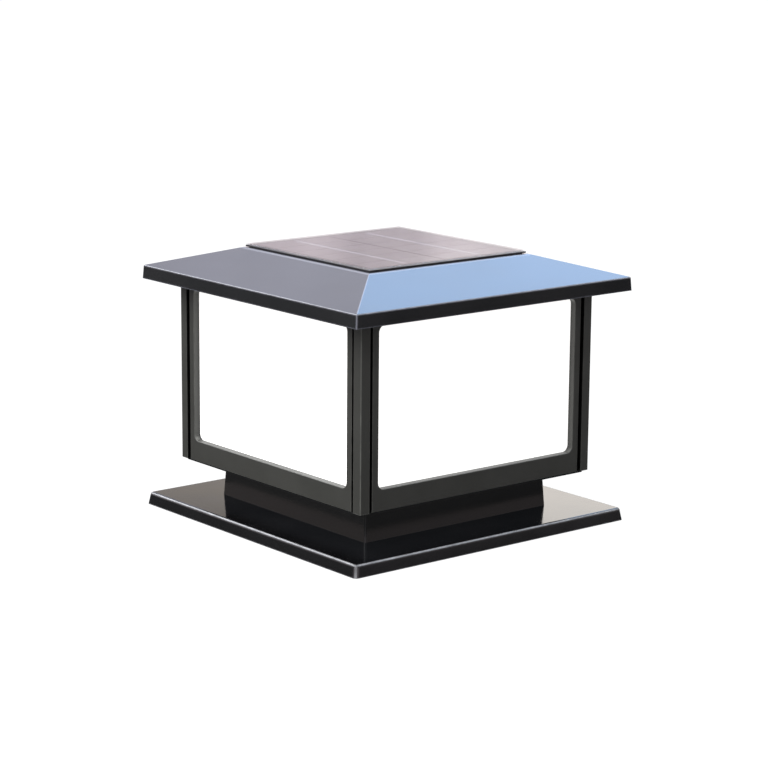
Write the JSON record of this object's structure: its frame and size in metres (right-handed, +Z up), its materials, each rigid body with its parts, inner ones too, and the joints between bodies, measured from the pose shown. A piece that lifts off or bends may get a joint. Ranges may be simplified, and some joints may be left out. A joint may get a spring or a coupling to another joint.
{
  "type": "deck post cap light",
  "caption": "Square solar post cap light: hipped roof with a solar panel, a lantern with opal panes between corner posts, a neck and a flat base.",
  "frame": {"origin": "middle of the base's underside, where it meets the top of the deck post", "axes": "+Z up; front is -Y and right is +X, square about Z"},
  "size_m": [0.2, 0.2, 0.1566],
  "materials": {
    "black_enamel": "gloss black enamel on cast and extruded aluminium",
    "opal": "opal acrylic, satin",
    "tray_plastic": "fine-grained black moulding",
    "white_sheet": "white reflector sheet",
    "zinc_steel": "zinc-plated sheet steel",
    "screw_steel": "stainless steel",
    "lamp_board": "white solder mask on aluminium",
    "chip": "yellow phosphor",
    "battery_wrap": "shrink wrap",
    "holder_plastic": "moulded",
    "contact_metal": "nickel-plated",
    "control_board": "green solder mask",
    "control_parts": "moulded packages",
    "switch_plastic": "moulded",
    "button_rubber": "silicone",
    "lead_insulation": "PVC insulation",
    "grommet_rubber": "moulded rubber",
    "foam_tape": "closed-cell foam tape",
    "backboard": "black solder mask",
    "silicon": "dark blue silicon",
    "ribbon": "tinned copper ribbon",
    "clear_cover": "clear epoxy over the cells"
  },
  "bodies": {
    "lantern": {"base_plate": "black_enamel", "base_screws": "screw_steel", "neck": "black_enamel", "neck_screws": "screw_steel", "lower_ring": "black_enamel", "lower_ring_screws": "screw_steel", "post_front_right": "black_enamel", "post_back_right": "black_enamel", "post_back_left": "black_enamel", "post_front_left": "black_enamel", "frame_front": "black_enamel", "frame_right": "black_enamel", "frame_back": "black_enamel", "frame_left": "black_enamel", "pane_front": "opal", "pane_right": "opal", "pane_back": "opal", "pane_left": "opal", "upper_ring": "zinc_steel", "upper_ring_screws": "screw_steel"},
    "roof": {"roof_shell": "black_enamel", "ceiling_tray": "tray_plastic", "tray_screws": "screw_steel", "reflector": "white_sheet", "lamp_board": "lamp_board", "lamp_chips": "chip", "lamp_screws": "screw_steel", "battery_cell": "battery_wrap", "battery_holder": "holder_plastic", "battery_contacts": "contact_metal", "control_board": "control_board", "control_parts": "control_parts", "control_screws": "screw_steel", "switch_body": "switch_plastic", "panel_lead": "lead_insulation", "lamp_lead": "lead_insulation", "battery_lead": "lead_insulation", "switch_lead": "lead_insulation", "lead_grommet": "grommet_rubber", "panel_tape": "foam_tape", "solar_backboard": "backboard", "solar_cells": "silicon", "solar_ribbons": "ribbon", "solar_cover": "clear_cover"},
    "switch_button": {"switch_button": "button_rubber"},
    "battery_lid": {"battery_lid": "tray_plastic"}
  },
  "joints": [
    {"name": "roof_lift", "type": "slide", "parent": "lantern", "child": "roof", "axis": [0, 0, 1], "range_m": [0, 0.06]},
    {"name": "switch_press", "type": "slide", "parent": "roof", "child": "switch_button", "axis": [0, 0, 1], "range_m": [0, 0.001], "stiffness_N_per_m": 600, "springref_m": -0.001},
    {"name": "battery_lid_drop", "type": "slide", "parent": "roof", "child": "battery_lid", "axis": [0, 0, -1], "range_m": [0, 0.03]}
  ]
}
